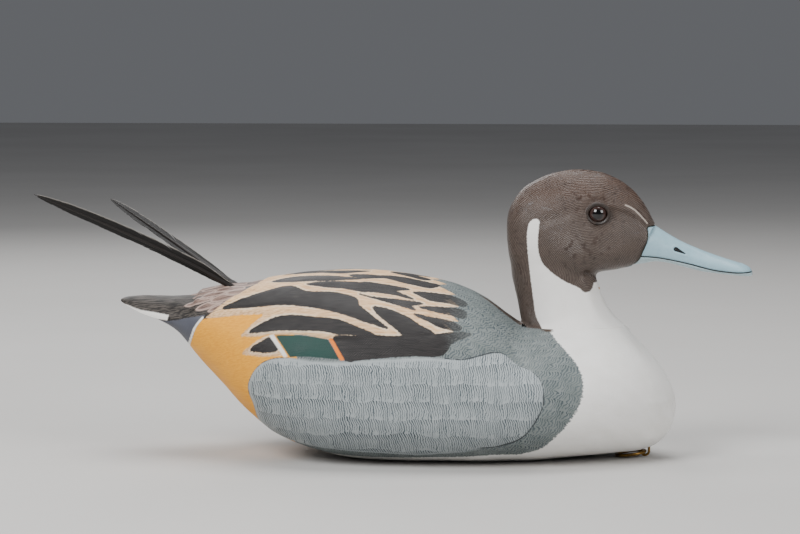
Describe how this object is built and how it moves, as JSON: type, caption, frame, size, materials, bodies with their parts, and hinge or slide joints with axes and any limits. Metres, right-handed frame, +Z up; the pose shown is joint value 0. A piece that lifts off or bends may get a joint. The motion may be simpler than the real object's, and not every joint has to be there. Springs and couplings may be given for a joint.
{
  "type": "floating duck decoy",
  "caption": "Hollow carved wooden pintail drake decoy with glass eyes, pull-out tail sprigs, a flush ballast slab and a swinging line-tie ring.",
  "frame": {"origin": "on the floor that the flat bottom rests on, under the middle of the decoy's length and width", "axes": "+X towards the bill, +Y towards the bird's left, +Z up"},
  "size_m": [0.4395, 0.156, 0.1777],
  "materials": {
    "back_paint": "satin oil paint on carved pine",
    "belly_paint": "satin oil paint on carved pine",
    "tail_paint": "satin oil paint on carved hardwood",
    "head_paint": "combed satin oil paint on carved basswood",
    "bill_paint": "satin oil paint on carved hardwood",
    "dowel_wood": "bare turned birch",
    "steel": "dull zinc plate",
    "eye_glass": "clear blown glass",
    "iris_enamel": "gloss brown enamel",
    "pupil_glass": "opaque black glass",
    "putty": "painted wood putty",
    "feather": "dark flight feather with a pale upper edge",
    "lead": "dull oxidised cast lead",
    "brass": "tarnished brass"
  },
  "bodies": {
    "decoy": {"body_upper": "back_paint", "body_lower": "belly_paint", "body_dowels": "dowel_wood", "tail_board": "tail_paint", "tail_dowels": "dowel_wood", "head": "head_paint", "neck_dowel": "dowel_wood", "head_screw": "steel", "head_washer": "steel", "bill": "bill_paint", "bill_dowel": "dowel_wood", "eye_glass_right": "eye_glass", "eye_glass_left": "eye_glass", "eye_iris_right": "iris_enamel", "eye_iris_left": "iris_enamel", "eye_pupil_right": "pupil_glass", "eye_pupil_left": "pupil_glass", "eye_putty_right": "putty", "eye_putty_left": "putty", "ballast_weight": "lead", "ballast_screws": "brass", "line_tie_staple": "brass"},
    "right_sprig": {"sprig_right": "feather"},
    "left_sprig": {"sprig_left": "feather"},
    "line_ring": {"line_tie_ring": "brass"}
  },
  "joints": [
    {"name": "sprig_right_pull", "type": "slide", "parent": "decoy", "child": "right_sprig", "axis": [-0.8434, -0.0886, 0.5299], "range_m": [0, 0.026]},
    {"name": "sprig_left_pull", "type": "slide", "parent": "decoy", "child": "left_sprig", "axis": [-0.8295, 0.1763, 0.5299], "range_m": [0, 0.026]},
    {"name": "line_ring_swing", "type": "hinge", "parent": "decoy", "child": "line_ring", "pos_m": [0.1565, 0, 0.0035], "axis": [0, -1, 0], "range_deg": [0, 165]}
  ]
}
